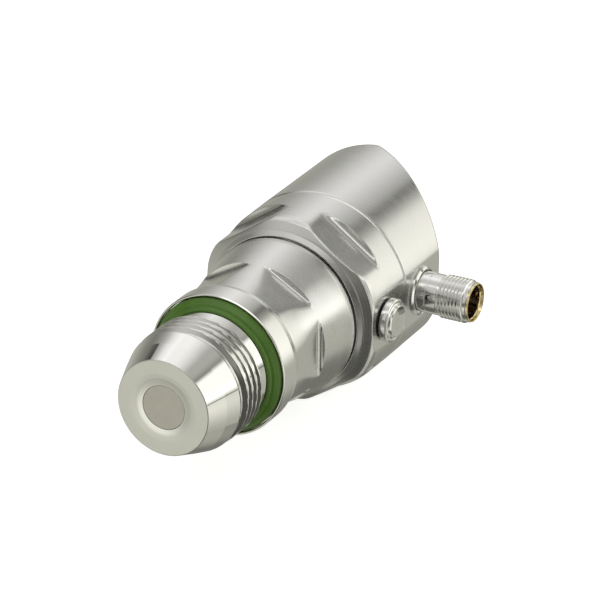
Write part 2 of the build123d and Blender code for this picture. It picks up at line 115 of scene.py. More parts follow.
def rounded(pts, seg=4, closed=True, hold=0.06, step=None):
    """Profile of (r, y, fillet radius) corners -> dense (r, y) points with fillets
    and holding points beside them, so that flat stretches shade flat."""
    p = [np.array(q[:2], float) for q in pts]
    f = [q[2] if len(q) > 2 else 0.0 for q in pts]
    n = len(p)
    ends = []
    for i in range(n):
        if f[i] <= 0 or (not closed and i in (0, n - 1)):
            ends.append([p[i]])
            continue
        d0, d1 = p[i - 1] - p[i], p[(i + 1) % n] - p[i]
        l0, l1 = np.linalg.norm(d0), np.linalg.norm(d1)
        d0, d1 = d0 / l0, d1 / l1
        half = np.arccos(np.clip(d0 @ d1, -1, 1)) / 2
        t = min(f[i] / tan(half), 0.48 * l0, 0.48 * l1)
        r = t * tan(half)
        c = p[i] + (d0 + d1) / np.linalg.norm(d0 + d1) * (r / sin(half))
        s0, s1 = p[i] + d0 * t - c, p[i] + d1 * t - c
        ang = atan2(s0[0] * s1[1] - s0[1] * s1[0], s0 @ s1)
        arc = []
        for k in range(seg + 1):
            w = ang * k / seg
            arc.append(c + np.array([s0[0] * cos(w) - s0[1] * sin(w), s0[0] * sin(w) + s0[1] * cos(w)]))
        ends.append(arc)
    out = []
    for i in range(n):
        out += ends[i]
        if not closed and i == n - 1:
            break
        q0, q1 = ends[i][-1], ends[(i + 1) % n][0]
        d = q1 - q0
        l = np.linalg.norm(d)
        if l < 1e-6:
            continue
        d /= l
        h = min(hold, 0.3 * l)
        cuts = [h]
        if step and l - 2 * h > step:
            k = int(ceil((l - 2 * h) / step))
            cuts += [h + (l - 2 * h) * j / k for j in range(1, k)]
        cuts.append(l - h)
        out += [q0 + d * c for c in cuts]
    return np.array(out)


def curve(pts, n):
    """Catmull-Rom through (r, y) points, n points, ends included."""
    p = np.array(pts, float)
    p = np.vstack([2 * p[0] - p[1], p, 2 * p[-1] - p[-2]])
    seg = len(p) - 3
    out = []
    for t in np.linspace(0, seg, n):
        i = min(int(t), seg - 1)
        w = t - i
        a0, a1, a2, a3 = p[i], p[i + 1], p[i + 2], p[i + 3]
        out.append(0.5 * (2 * a1 + (a2 - a0) * w + (2 * a0 - 5 * a1 + 4 * a2 - a3) * w ** 2 + (3 * a1 - a0 - 3 * a2 + a3) * w ** 3))
    return out


Y_AXIS = (np.zeros(3), np.array([0, 1.0, 0]), np.array([1.0, 0, 0]), np.array([0, 0, 1.0]))


def x_axis(y):
    """Turning axis of the fittings on the side, at height y of the sensor axis."""
    return (np.array([0, y, 0.0]), np.array([1.0, 0, 0]), np.array([0, 1.0, 0]), np.array([0, 0, 1.0]))


def rings(profile, nphi, axis=Y_AXIS):
    """(rows, columns, 3) points of a profile turned about an axis."""
    o, d, e1, e2 = axis
    t = np.arange(nphi) * 2 * pi / nphi
    ring = np.cos(t)[:, None] * e1 + np.sin(t)[:, None] * e2
    return o + profile[:, 1][:, None, None] * d + profile[:, 0][:, None, None] * ring[None]


def grid_faces(n, m, closed=True):
    i = np.arange(n if closed else n - 1)
    j = np.arange(m)
    I, J = np.meshgrid(i, j, indexing="ij")
    I2, J2 = (I + 1) % n, (J + 1) % m
    return np.stack([I * m + J, I * m + J2, I2 * m + J2, I2 * m + J], -1).reshape(-1, 4).tolist()


def turned(name, profile, nphi, mat, body, nodes, axis=Y_AXIS, closed=True, shape=None, sharp=32.0):
    """A turned piece: closed profile loop, or one that starts and ends on the axis."""
    g = rings(profile, nphi, axis)
    if shape:
        g = shape(g)
    return put(name, g.reshape(-1, 3), grid_faces(len(profile), nphi, closed), mat, body, nodes, sharp)


def smooth01(x):
    x = np.clip(x, 0, 1)
    return x * x * (3 - 2 * x)


def cut_flat(g, ang, apothem, soft):
    """Pushes what stands past a flat back onto it along its normal. apothem may vary by row."""
    n = np.array([cos(radians(ang)), 0, sin(radians(ang))])
    e = g @ n - np.asarray(apothem)
    e = 0.5 * (e + np.sqrt(e * e + soft * soft))
    e = np.where(e < soft * 0.12, e * smooth01(e / (soft * 0.12)), e)
    return g - e[..., None] * n


# ---------------------------------------------------------------- materials
class Mat:
    """A small node tree builder around one Principled shader."""

    def __init__(self, name, color, rough, metal=0.0, **extra):
        self.m = bpy.data.materials.new(name)
        self.m.use_nodes = True
        self.t = self.m.node_tree
        self.n = self.t.nodes
        self.b = self.n["Principled BSDF"]
        self.b.inputs["Base Color"].default_value = (*color, 1)
        self.b.inputs["Roughness"].default_value = rough
        self.b.inputs["Metallic"].default_value = metal
        for k, v in extra.items():
            self.b.inputs[k].default_value = v
        self._xyz = None
        self._obj = None

    def link(self, a, b):
        self.t.links.new(a, b)

    def obj(self):
        if not self._obj:
            self._obj = self.n.new("ShaderNodeTexCoord").outputs["Object"]
        return self._obj

    def xyz(self):
        if not self._xyz:
            s = self.n.new("ShaderNodeSeparateXYZ")
            self.link(self.obj(), s.inputs[0])
            self._xyz = s.outputs
        return self._xyz

    def scaled(self, sx, sy, sz):
        mp = self.n.new("ShaderNodeMapping")
        mp.inputs["Scale"].default_value = (sx, sy, sz)
        self.link(self.obj(), mp.inputs["Vector"])
        return mp.outputs[0]

    def noise(self, vec, scale=1.0, detail=3.0, rough=0.5):
        nz = self.n.new("ShaderNodeTexNoise")
        nz.inputs["Scale"].default_value = scale
        nz.inputs["Detail"].default_value = detail
        nz.inputs["Roughness"].default_value = rough
        self.link(vec, nz.inputs["Vector"])
        return nz.outputs["Fac"]

    def math(self, op, a, b=None, c=None, clamp=False):
        x = self.n.new("ShaderNodeMath")
        x.operation = op
        x.use_clamp = clamp
        for i, v in enumerate((a, b, c)):
            if v is None:
                continue
            if isinstance(v, (int, float)):
                x.inputs[i].default_value = v
            else:
                self.link(v, x.inputs[i])
        return x.outputs[0]

    def span(self, val, a, b, c=0.0, d=1.0, smooth=True):
        r = self.n.new("ShaderNodeMapRange")
        r.interpolation_type = "SMOOTHSTEP" if smooth else "LINEAR"
        self.link(val, r.inputs["Value"])
        for k, x in zip(("From Min", "From Max", "To Min", "To Max"), (a, b, c, d)):
            r.inputs[k].default_value = x
        return r.outputs[0]

    def mix(self, fac, a, b):
        x = self.n.new("ShaderNodeMix")
        x.data_type = "RGBA"
        self.link(fac, x.inputs[0])
        for i, v in ((6, a), (7, b)):
            if isinstance(v, tuple):
                x.inputs[i].default_value = (*v, 1)
            else:
                self.link(v, x.inputs[i])
        return x.outputs[2]

    def color(self, out):
        self.link(out, self.b.inputs["Base Color"])

    def rough(self, out):
        self.link(out, self.b.inputs["Roughness"])

    def bump(self, height, strength, distance, chain=None):
        b = self.n.new("ShaderNodeBump")
        b.inputs["Strength"].default_value = strength
        b.inputs["Distance"].default_value = distance
        self.link(height, b.inputs["Height"])
        if chain is not None:
            self.link(chain, b.inputs["Normal"])
        return b.outputs[0]

    def normal(self, out):
        self.link(out, self.b.inputs["Normal"])


def turned_vec(mt, axis, fine, coarse):
    """Object coordinates stretched round a turning axis, for tool marks."""
    s = {"X": (fine, coarse, coarse), "Y": (coarse, fine, coarse)}[axis]
    return mt.scaled(*s)


def satin(name, color=(0.80, 0.795, 0.775), rough=0.25, axis="Y", marks=0.09, grain=0.055):
    mt = Mat(name, color, rough, 1.0)
    lines = mt.noise(turned_vec(mt, axis, 5200.0, 60.0), 1.0, 3.0, 0.6)
    patch = mt.noise(mt.obj(), 260.0, 3.0, 0.55)
    blast = mt.noise(mt.obj(), 5200.0, 2.0, 0.6)
    r = mt.math("ADD", mt.span(patch, 0.3, 0.7, rough - 0.012, rough + 0.015), mt.span(lines, 0.3, 0.7, -0.015, 0.02))
    mt.rough(r)
    tone = mt.math("ADD", mt.math("MULTIPLY", lines, 0.5), mt.math("MULTIPLY", patch, 0.5))
    dark = tuple(c * 0.975 for c in color)
    mt.color(mt.mix(mt.span(tone, 0.35, 0.65), dark, color))
    n1 = mt.bump(lines, marks, 2.0e-6)
    mt.normal(mt.bump(blast, grain, 3.0e-6, n1))
    return mt.m


def polished(name, color=(0.83, 0.825, 0.805), rough=0.07, axis="Y", marks=0.2):
    mt = Mat(name, color, rough, 1.0)
    lines = mt.noise(turned_vec(mt, axis, 9000.0, 40.0), 1.0, 3.0, 0.6)
    patch = mt.noise(mt.obj(), 320.0, 2.0, 0.5)
    mt.rough(mt.math("ADD", mt.span(patch, 0.3, 0.7, rough * 0.8, rough * 1.25), mt.span(lines, 0.3, 0.7, -0.01, 0.02)))
    mt.color(mt.mix(mt.span(lines, 0.3, 0.7), tuple(c * 0.95 for c in color), color))
    mt.normal(mt.bump(lines, marks, 1.0e-6))
    return mt.m


def moulded(name, color, rough=0.45, grain=0.25, scale=2600.0, **extra):
    mt = Mat(name, color, rough, 0.0, **extra)
    patch = mt.noise(mt.obj(), 180.0, 3.0, 0.5)
    fine = mt.noise(mt.obj(), scale, 3.0, 0.6)
    mt.rough(mt.span(patch, 0.3, 0.7, rough - 0.05, rough + 0.06))
    mt.color(mt.mix(mt.span(patch, 0.3, 0.7), tuple(c * 0.9 for c in color), color))
    mt.normal(mt.bump(fine, grain, 8.0e-6))
    return mt.m


m_satin = satin("satin_steel")
m_polished = polished("polished_steel")
m_polished_x = polished("polished_steel_side", rough=0.10, axis="X")
m_spring = satin("spring_steel", (0.42, 0.42, 0.43), 0.33)
m_black = moulded("black_rubber", (0.018, 0.018, 0.018), 0.55)
m_dark = moulded("dark_plastic", (0.035, 0.035, 0.04), 0.42)
m_light = moulded("light_plastic", (0.68, 0.66, 0.6), 0.45)
m_button = moulded("key_rubber", (0.30, 0.31, 0.32), 0.5)
m_panel = moulded("panel_foil", (0.075, 0.08, 0.085), 0.38, 0.2)
m_insert = moulded("insert_plastic", (0.11, 0.048, 0.026), 0.45)


def process_steel():
    """Fitting: lapped matte face, mirror-polished cone and land, fine-turned collar."""
    mt = Mat("process_steel", (0.82, 0.81, 0.785), 0.08, 1.0)
    x, y, z = mt.xyz()
    face = mt.span(y, -0.02745, -0.02772, 0.0, 1.0)
    collar = mt.span(y, -0.0005, 0.0004, 0.0, 1.0)
    lines = mt.noise(turned_vec(mt, "Y", 9000.0, 40.0), 1.0, 3.0, 0.6)
    patch = mt.noise(mt.obj(), 300.0, 2.0, 0.5)
    base = mt.span(patch, 0.3, 0.7, 0.03, 0.055)
    r = mt.math("ADD", base, mt.math("MULTIPLY", face, 0.36))
    r = mt.math("ADD", r, mt.math("MULTIPLY", collar, 0.15))
    mt.rough(r)
    mt.color(mt.mix(face, (0.83, 0.825, 0.80), (0.81, 0.81, 0.765)))
    mt.normal(mt.bump(lines, 0.3, 1.2e-6))
    return mt.m


def green_rubber():
    mt = Mat("green_elastomer", (0.105, 0.235, 0.028), 0.38, 0.0)
    patch = mt.noise(mt.obj(), 150.0, 3.0, 0.5)
    lines = mt.noise(turned_vec(mt, "Y", 3000.0, 60.0), 1.0, 2.0, 0.5)
    mt.rough(mt.span(patch, 0.3, 0.7, 0.32, 0.44))
    mt.color(mt.mix(mt.span(patch, 0.25, 0.75), (0.088, 0.205, 0.022), (0.115, 0.255, 0.032)))
    mt.normal(mt.bump(lines, 0.15, 4.0e-6))
    return mt.m


def ceramic():
    mt = Mat("ceramic_cell", (0.69, 0.66, 0.58), 0.42, 0.0)
    fine = mt.noise(mt.obj(), 6000.0, 3.0, 0.6)
    patch = mt.noise(mt.obj(), 420.0, 3.0, 0.5)
    mt.color(mt.mix(mt.span(patch, 0.3, 0.7), (0.78, 0.75, 0.66), (0.82, 0.79, 0.70)))
    mt.rough(mt.span(patch, 0.3, 0.7, 0.4, 0.5))
    mt.normal(mt.bump(fine, 0.2, 3.0e-6))
    return mt.m


def gold_plate(name, color, rough):
    mt = Mat(name, color, rough, 1.0)
    patch = mt.noise(mt.obj(), 900.0, 2.0, 0.5)
    mt.rough(mt.span(patch, 0.3, 0.7, rough * 0.8, rough * 1.3))
    mt.color(mt.mix(mt.span(patch, 0.3, 0.7), tuple(c * 0.92 for c in color), color))
    return mt.m


def board():
    mt = Mat("board_mask", (0.02, 0.11, 0.04), 0.35, 0.0)
    x, y, z = mt.xyz()
    grid = mt.noise(mt.scaled(700.0, 700.0, 700.0), 1.0, 2.0, 0.5)
    mt.color(mt.mix(mt.span(grid, 0.45, 0.55), (0.016, 0.09, 0.033), (0.03, 0.145, 0.055)))
    mt.rough(mt.span(grid, 0.3, 0.7, 0.3, 0.42))
    return mt.m


def clear_lens():
    mt = Mat("clear_lens", (0.55, 0.6, 0.6), 0.05, 0.0)
    mt.b.inputs["Transmission Weight"].default_value = 1.0
    mt.b.inputs["IOR"].default_value = 1.49
    fine = mt.noise(mt.obj(), 500.0, 2.0, 0.5)
    mt.rough(mt.span(fine, 0.3, 0.7, 0.03, 0.06))
    return mt.m


m_process = process_steel()
m_green = green_rubber()
m_ceramic = ceramic()
m_gold = gold_plate("gold_plate", (0.86, 0.72, 0.40), 0.16)
m_contact = gold_plate("contact_plate", (0.42, 0.27, 0.10), 0.30)
m_board = board()
m_lens = clear_lens()

# ---------------------------------------------------------- process fitting
# lapped face with its dished opening, sealing cone, land, helical G1 thread,
# relief, seal groove, flange with fine edges
P = 2.309
LAND, LAND_R = -17.6, 16.38    # end of the cone, where the first groove starts


def process_profile():
    pts = [(6.0, -25.4, 0), (6.0, -27.40, 0.05), (6.3, -27.43, 0.15), (8.05, -27.72, 0.5), (9.2, -27.8, 1.2), (12.75, -27.8, 0.08), (12.95, -27.68, 0.08),
           (15.0, -21.9, 0.4), (LAND_R - 0.01, LAND - 0.05, 0)]
    front = rounded(pts, 5, closed=False, step=1.2)
    ys = np.arange(LAND, -5.40, 0.078)
    body = np.stack([np.full(len(ys), LAND_R), ys], 1)
    rear = rounded([(15.05, -5.30, 0), (15.62, -2.7, 0.1), (15.3, -2.3, 0.1), (15.3, 2.6, 0.1), (18.75, 2.6, 0.05), (18.75, 0.22, 0.05), (18.98, 0, 0.05), (19.17, 0, 0.08), (19.4, 0.25, 0.1),
                    (19.4, 5.9, 0.5), (19.08, 7.5, 0.6), (18.62, 8.4, 0.05), (13.05, 8.4, 0), (13.05, 4.4, 0), (8.35, 4.4, 0), (8.35, -25.4, 0)], 4, closed=False, step=2.0)
    return np.vstack([front, body, rear]), len(front), len(body)


prof, n0, n1 = process_profile()
NPHI = 288
g = rings(prof, NPHI)
phi = np.arange(NPHI) * 2 * pi / NPHI
yy = prof[n0:n0 + n1, 1][:, None] + 0 * phi[None]
turn = (yy + 14.07) / P + phi[None] / (2 * pi) - 0.061
w = np.abs(turn - np.round(turn)) * P               # distance from the nearest crest
half = 0.21
fl = np.clip((w - half) / tan(radians(27.5)), 0, None)
depth = 1.36
fl = depth - np.logaddexp(0, (depth - fl) / 0.10) * 0.10     # rounded root
r = 16.62 - np.clip(fl, 0, None)
root = 15.26
r = root + (r - root) * smooth01((yy + 16.1) / 0.7)          # run-in behind the wide first groove
g0 = np.clip((yy - LAND - 0.06) / 0.62, 0, None)
g0 = 1.12 - np.logaddexp(0, (1.12 - g0) / 0.06) * 0.06
r = np.maximum(r, LAND_R - np.clip(g0, 0, None))
edge1 = smooth01((-5.72 - yy) / 0.7)
r = r * edge1 + 15.03 * (1 - edge1)
r = np.minimum(r, 16.62)
for k in range(n1):
    ring = np.stack([np.cos(phi) * r[k], yy[k], np.sin(phi) * r[k]], 1)
    g[n0 + k] = ring
fitting = put("process_fitting_turned", g.reshape(-1, 3), grid_faces(len(prof), NPHI), m_process, "sensor_base", ["process_fitting"], 40)

# ------------------------------------------------------------- profile seal
seal_pts = [(15.32, 2.55, 0.1), (15.32, -2.0, 0.12), (15.72, -2.55, 0.2), (16.2, -2.42, 0.12), (16.5, -2.12, 0.1), (16.62, -1.72, 0.12), (17.25, -1.42, 0.25),
            (18.0, -0.62, 0.6), (18.42, 0.15, 0.25), (18.45, 2.55, 0.1)]
turned("profile_seal_moulded", rounded(seal_pts, 5, step=1.0), 320, m_green, "sensor_base", ["profile_seal"], sharp=50)

# ----------------------------------------------------------- measuring cell
turned("measuring_cell_lapped", rounded([(0, -27.36, 0), (5.9, -27.36, 0.05), (5.9, -24.6, 0), (8.3, -24.6, 0.1), (8.3, -18.6, 0.1), (0, -18.6, 0)], 3, closed=False),
       128, m_ceramic, "sensor_base", ["measuring_cell"], closed=False)

# ---------------------------------------------------------------- neck body
outer = curve([(18.40, 8.75), (18.5, 11.2), (18.75, 14.5), (19.2, 17.9), (19.72, 21.3), (20.28, 24.5), (20.8, 27.6), (21.22, 30.2), (21.48, 32.2),
               (21.54, 33.3), (21.46, 34.2), (21.22, 34.95), (20.95, 35.45)], 96)
ys = np.concatenate([[8.65], np.array([p[1] for p in outer]), []])
rs = np.concatenate([[18.32], np.array([p[0] for p in outer])])
FW = 21.3                                            # back wall of the neck's flats
cuts = np.concatenate([np.linspace(FW - 1.3, FW, 12), FW + np.arange(1, 14) * 0.012, FW + 0.16 + np.arange(1, 10) * 0.07])
ally = np.unique(np.round(np.concatenate([ys, cuts]), 4))
allr = np.interp(ally, ys, rs)
front = np.array([(7.0, 4.4), (13.0, 4.4), (13.0, 8.38), (18.15, 8.4), (18.26, 8.48)])
tail = rounded([(20.75, 35.6, 0), (14.02, 35.6, 0), (14.0, 38.7, 0), (12.7, 38.7, 0), (12.7, 40.5, 0), (14.0, 40.5, 0), (14.0, 43.7, 0), (13.0, 43.7, 0), (13.0, 44.8, 0), (14.0, 44.8, 0),
                (14.0, 45.5, 0), (13.5, 46.0, 0), (10.5, 46.0, 0), (10.5, 31.5, 0), (14.8, 29.5, 0), (14.8, 13.0, 0), (7.0, 10.5, 0)], 3, closed=False)
prof = np.vstack([front, np.stack([allr, ally], 1), tail])
o0, o1 = len(front), len(front) + len(ally)
g = rings(prof, 480)
rho = 1.0                                            # cutter's corner radius
yo = ally
d = np.clip(FW - yo, 0, rho)
lift = np.where(yo <= FW, rho - np.sqrt(np.clip(rho ** 2 - (rho - d) ** 2, 0, None)), 0.0)
lift = np.where(yo < FW - rho, 0.0, lift)
lift = np.where(yo > FW, rho + (yo - FW) / 0.156 * 2.2, lift)
lift = np.where(yo > FW + 0.17, 60.0, lift)
sub = g[o0:o1]
for k in range(6):
    sub = cut_flat(sub, 60 * k, (18.0 + lift)[:, None], 0.22)
g[o0:o1] = sub
put("neck_body_turned", g.reshape(-1, 3), grid_faces(len(prof), 480), m_satin, "sensor_base", ["neck_body"], 40)

# ------------------------------------------------------------ lower housing
PK = 47.4
lip = rounded([(14.05, 36.2, 0), (16.3, 36.2, 0), (16.3, 38.4, 0), (18.7, 38.4, 0), (18.7, 36.2, 0), (19.7, 36.2, 0.1), (19.7, 38.2, 0), (21.22, 38.2, 0), (21.22, 35.75, 0.2), (21.6, 35.40, 0.25), (22.8, 36.36, 0.12), (23.0, 36.46, 0.05)], 5, closed=False)
cone = rounded([(23.15, 36.5, 0), (25.20, 37.66, 0.8), (25.80, 38.75, 0.7), (25.92, 40.2, 0)], 6, closed=False, step=0.35)
side_y = np.unique(np.round(np.concatenate([np.arange(40.5, PK - 2.2, 0.45), np.linspace(PK - 2.2, PK, 18), PK + np.arange(1, 14) * 0.014,
                                            PK + 0.2 + np.arange(1, 9) * 0.09, np.arange(PK + 1.2, 55.3, 0.5)]), 4))
side = np.stack([np.interp(side_y, [40.2, 55.5], [25.92, 26.11]), side_y], 1)
back_ = rounded([(26.11, 55.5, 0.1), (25.78, 55.88, 0.05), (23.6, 55.9, 0), (23.6, 52.9, 0), (22.5, 52.9, 0), (22.5, 43.5, 0), (14.05, 43.5, 0)], 3, closed=False)
prof = np.vstack([lip, cone, side, back_])
o0, o1 = len(lip), len(lip) + len(cone) + len(side) + 8
g = rings(prof, 576)
yo = prof[o0:o1, 1]
rho = 2.1
d = np.clip(PK - yo, 0, rho)
lift = np.where(yo <= PK, rho - np.sqrt(np.clip(rho ** 2 - (rho - d) ** 2, 0, None)), 0.0)
lift = np.where(yo < PK - rho, 0.0, lift)
lift = np.where(yo > PK, rho + (yo - PK) / 0.18 * 1.6, lift)
lift = np.where(yo > PK + 0.19, 60.0, lift)
sub = g[o0:o1]
for ang in (55, 124, 180, 235, 304):
    sub = cut_flat(sub, ang, (23.85 + lift)[:, None], 0.35)
sub = cut_flat(sub, 0, 25.0, 0.12)
g[o0:o1] = sub
put("lower_housing_turned", g.reshape(-1, 3), grid_faces(len(prof), 576), m_satin, "housing", ["lower_housing"], 40)

# --------------------------------------------------------------- head shell
# wall, conical shoulder on the high side and inclined face, all with rounded
# edges: each radial section is walked along and sampled finer where it turns
TILT, TY, HR, RIM = radians(32.8), 92.7, 26.14, 1.6
SHO, SHO_Y, SHO_R = radians(40.0), 93.5, 4.0
NRM = np.array([sin(TILT), cos(TILT), 0.0])
E1 = np.array([cos(TILT), -sin(TILT), 0.0])
EZ = np.array([0.0, 0.0, 1.0])
NP = 480
phi = np.arange(NP) * 2 * pi / NP
tip = np.arctan2(np.sin(phi), np.cos(phi) / cos(TILT))       # same radial plane, angle in the face
rad = np.stack([np.cos(phi), 0 * phi, np.sin(phi)], 1)
KS = cos(SHO) * HR + sin(SHO) * SHO_Y


def smax(p, q, k):
    h = np.clip(k - np.abs(p - q), 0, None) / k
    return np.maximum(p, q) + h * h * k * 0.25


wall_top = TY - HR * np.cos(phi) * tan(TILT)
near = smooth01((wall_top - SHO_Y + 2.0) / 4.0)
cosw = (1 - near) * sin(TILT) * np.cos(phi) + near * (cos(SHO) * sin(TILT) * np.cos(phi) + sin(SHO) * cos(TILT))
k_face = (4 * RIM * (1 - np.cos(np.arccos(cosw) / 2)))[:, None]
k_sho = 4 * SHO_R * (1 - cos(SHO / 2))


def outside(rr_, yy_):
    f = smax(rr_ - HR, cos(SHO) * rr_ + sin(SHO) * yy_ - KS, k_sho)
    return smax(f, sin(TILT) * np.cos(phi)[:, None] * rr_ + cos(TILT) * (yy_ - TY), k_face)


D_END = 18.78
r_end = D_END * np.sqrt((np.cos(tip) * cos(TILT)) ** 2 + np.sin(tip) ** 2)
y_end = TY - D_END * np.cos(tip) * sin(TILT)
EYE_Y = 76.0
a0 = atan2(56.80 - EYE_Y, HR)
a1 = np.arctan2(y_end - EYE_Y, r_end)
s = np.linspace(0, 1, 520)
ang = a0 + (a1[:, None] - a0) * s[None]
lo, hi = np.zeros_like(ang), np.full_like(ang, 60.0)
for _ in range(34):
    mid = 0.5 * (lo + hi)
    inside = outside(mid * np.cos(ang), EYE_Y + mid * np.sin(ang)) < 0
    lo, hi = np.where(inside, mid, lo), np.where(inside, hi, mid)
sr, sy = lo * np.cos(ang), EYE_Y + lo * np.sin(ang)
NR_ = 84
sec = np.empty((NR_, NP, 2))
for j in range(NP):
    dr, dy = np.diff(sr[j]), np.diff(sy[j])
    ds = np.hypot(dr, dy)
    th = np.unwrap(np.arctan2(dy, dr))
    bend = np.concatenate([[0], np.abs(np.diff(th))])
    wgt = np.concatenate([[0], np.cumsum(ds + 22.0 * bend)])
    q = np.linspace(0, wgt[-1], NR_)
    sec[:, j, 0], sec[:, j, 1] = np.interp(q, wgt, sr[j]), np.interp(q, wgt, sy[j])
# even out the samples round the head
for _ in range(6):
    sec[1:-1] = 0.5 * sec[1:-1] + 0.25 * (np.roll(sec[1:-1], 1, 1) + np.roll(sec[1:-1], -1, 1))
rows = []


def at(r, y):
    rr_ = r if np.isscalar(r) else r[:, None]
    rows.append(rad * rr_ + np.array([0, 1.0, 0]) * (y if np.isscalar(y) else y[:, None]))


for r, y in ((22.0, 52.9), (23.56, 52.9), (23.56, 55.9), (25.50, 55.92), (25.62, 55.97), (26.02, 56.42), (26.13, 56.72)):
    at(r, y)
for k in range(NR_):
    at(sec[k, :, 0], sec[k, :, 1])
last_out = len(rows)
C0 = np.array([0, TY, 0.0])


def disc(r, depth):
    return C0 - NRM * depth + r * (np.cos(tip)[:, None] * E1 + np.sin(tip)[:, None] * EZ)


rows += [disc(18.73, 0.03), disc(18.7, 0.1), disc(18.7, 3.3), disc(16.6, 3.3), disc(16.6, 5.5)]
top = TY - 5.5 / cos(TILT)
r_top = np.minimum(22.8, (KS - 3.3 - sin(SHO) * top) / np.clip(cos(SHO) - sin(SHO) * np.cos(phi) * tan(TILT), 0.2, None))
y_sho = (KS - 3.3 - cos(SHO) * 22.8) / sin(SHO)
at(r_top, top - r_top * np.cos(phi) * tan(TILT))
at(22.8 + 0 * phi, np.minimum(y_sho, top - 22.8 * np.cos(phi) * tan(TILT)))
at(22.8, 56.5)
at(22.0, 56.5)
g = np.array(rows)
e = g[3:last_out, :, 0] - 25.0
e = 0.5 * (e + np.sqrt(e * e + 0.0144))
e = np.where(e < 0.015, e * smooth01(e / 0.015), e)
g[3:last_out, :, 0] -= e
put("head_shell_turned", g.reshape(-1, 3), grid_faces(len(g), NP), m_satin, "housing", ["head_shell"], 35)

# -------------------------------------------------------------- vent fittings
VY = 45.7
vent = rounded([(0, 28.72, 0), (1.9, 28.68, 2.0), (4.05, 28.42, 0.2), (4.35, 28.1, 0.12), (4.35, 27.62, 0.1), (4.75, 27.35, 0.1), (5.35, 27.5, 0.1), (5.75, 27.2, 0.2),
                (5.75, 25.62, 0.1), (5.6, 25.5, 0.03), (2.95, 25.5, 0), (2.95, 22.4, 0), (0, 22.4, 0)], 4, closed=False)
turned("vent_cap_turned", vent, 144, m_polished_x, "housing", ["vent_cap"], axis=x_axis(VY), closed=False)
turned("vent_seal_moulded", rounded([(3.9, 25.02, 0.05), (5.05, 25.02, 0.1), (5.05, 25.48, 0.1), (3.9, 25.48, 0.05)], 3), 96, m_black, "housing",
       ["vent_seal"], axis=x_axis(VY))

# ----------------------------------------------------------------- connector
CY = 65.9
base = rounded([(5.78, 25.0, 0), (6.7, 25.0, 0.05), (6.7, 25.4, 0.3), (6.1, 26.0, 0.3), (5.9, 25.9, 0.1), (5.78, 25.5, 0)], 5)
turned("connector_base_ring", base, 144, m_polished_x, "housing", ["connector_gasket"], axis=x_axis(CY))
TH0, TH1 = 31.9, 39.3
sh_front = rounded([(3.9, 21.2, 0), (5.15, 21.2, 0), (5.15, 25.0, 0), (5.5, 25.02, 0), (5.5, 28.35, 0.05), (5.42, 28.42, 0.04), (5.42, 28.6, 0.04), (5.5, 28.67, 0.05), (5.5, TH0 - 0.3, 0)], 3, closed=False, step=0.6)
tx = np.arange(TH0 - 0.2, TH1 + 0.1, 0.034)
thr = np.stack([np.full(len(tx), 5.85), tx], 1)
sh_back = rounded([(5.42, 39.45, 0.05), (5.45, 40.25, 0.12), (5.35, 40.42, 0.05), (5.3, 40.42, 0), (5.3, 39.5, 0), (4.5, 39.5, 0), (4.5, 30.5, 0), (3.9, 30.5, 0)], 3, closed=False)
prof = np.vstack([sh_front, thr, sh_back])
NC = 200
g = rings(prof, NC, x_axis(CY))
phi = np.arange(NC) * 2 * pi / NC
xx = tx[:, None] + 0 * phi[None]
turn = xx / 1.0 - phi[None] / (2 * pi)
w = np.abs(turn - np.round(turn))
fl = np.clip((w - 0.07) / tan(radians(30)), 0, None)
fl = 0.60 - np.logaddexp(0, (0.60 - fl) / 0.03) * 0.03
r = 5.9 - np.clip(fl, 0, None)
r = 5.4 + (r - 5.4) * smooth01((xx - TH0) / 0.5)
lead_out = smooth01((xx - (TH1 - 0.75)) / 0.3)
r = r * (1 - lead_out) + (5.86 - 0.5 * smooth01((xx - (TH1 - 0.25)) / 0.35)) * lead_out
k0 = len(sh_front)
for k in range(len(tx)):
    g[k0 + k] = np.stack([xx[k], CY + np.cos(phi) * r[k], np.sin(phi) * r[k]], 1)
put("connector_shell_turned", g.reshape(-1, 3), grid_faces(len(prof), NC), m_polished_x, "housing", ["connector_shell"], 70)
mouth = rounded([(5.28, 39.5, 0.05), (5.28, 40.85, 0.1), (5.15, 41.0, 0.08), (4.95, 40.95, 0.08), (4.74, 40.2, 0.1), (4.52, 39.95, 0), (4.5, 39.5, 0)], 4)
turned("connector_mouth_ring_plated", mouth, 144, m_gold, "housing", ["connector_mouth_ring"], axis=x_axis(CY))

# -------------------------------------------------- finishes of the CAD nodes
for names, mat in ((("cell_gasket", "neck_o_ring", "housing_seal", "panel_gasket"), m_black),
                   (("cell_backing_ring", "cell_lead", "display_module", "tactile_switches", "board_carrier"), m_dark),
                   (("slide_washer", "vent_membrane", "board_spacers"), m_light),
                   (("retaining_ring", "stop_pin", "carrier_screws"), m_spring),
                   (("cell_clamp_nut",), m_satin),
                   (("cell_board", "main_board", "display_board"), m_board),
                   (("connector_insert",), m_insert),
                   (("connector_pins",), m_contact),
                   (("front_panel",), m_panel),
                   (("display_lens",), m_lens),
                   (("button_set", "button_enter"), m_button)):
    for nme in names:
        o = NODES[nme]
        o.data.materials.clear()
        o.data.materials.append(mat)

